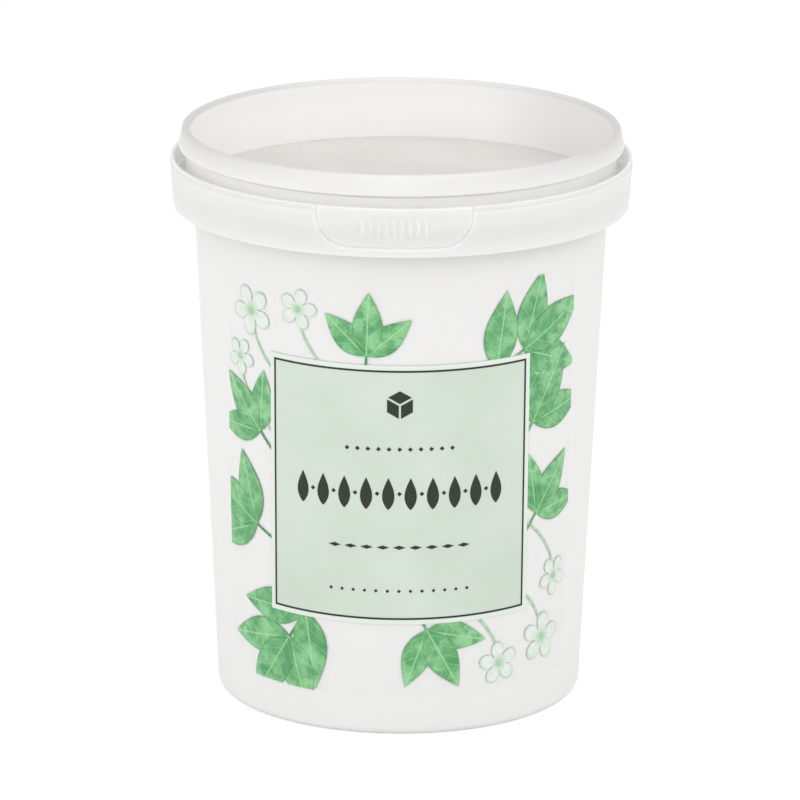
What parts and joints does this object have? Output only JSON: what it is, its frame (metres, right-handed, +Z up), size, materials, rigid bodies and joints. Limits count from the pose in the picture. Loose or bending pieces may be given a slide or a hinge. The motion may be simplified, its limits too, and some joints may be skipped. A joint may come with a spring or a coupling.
{
  "type": "dishwasher salt pack",
  "caption": "Open translucent plastic tub with snap bead, tamper collar and tear tab, filled with salt, with a clear printed label.",
  "frame": {"origin": "on the table under the tub's axis", "axes": "+Z up along the tub's axis, -Y towards the label and the tear tab, +X to the right seen from the front"},
  "size_m": [0.0948, 0.0949, 0.1192],
  "materials": {
    "tub_plastic": "translucent natural polypropylene, satin inside and smooth outside",
    "salt": "fine greyish white grains",
    "label_film": "clear film",
    "panel_ink": "flat pale green print",
    "dark_ink": "flat near-black print",
    "leaf_ink": "watercolour green print",
    "blossom_ink": "pale watercolour print",
    "stem_ink": "pale green print"
  },
  "bodies": {
    "root": {"tub": "tub_plastic", "salt": "salt", "label_film": "label_film", "printed_panel": "panel_ink", "printed_frame": "dark_ink", "printed_leaves": "leaf_ink", "printed_blossoms": "blossom_ink", "printed_stems": "stem_ink"}
  },
  "joints": []
}
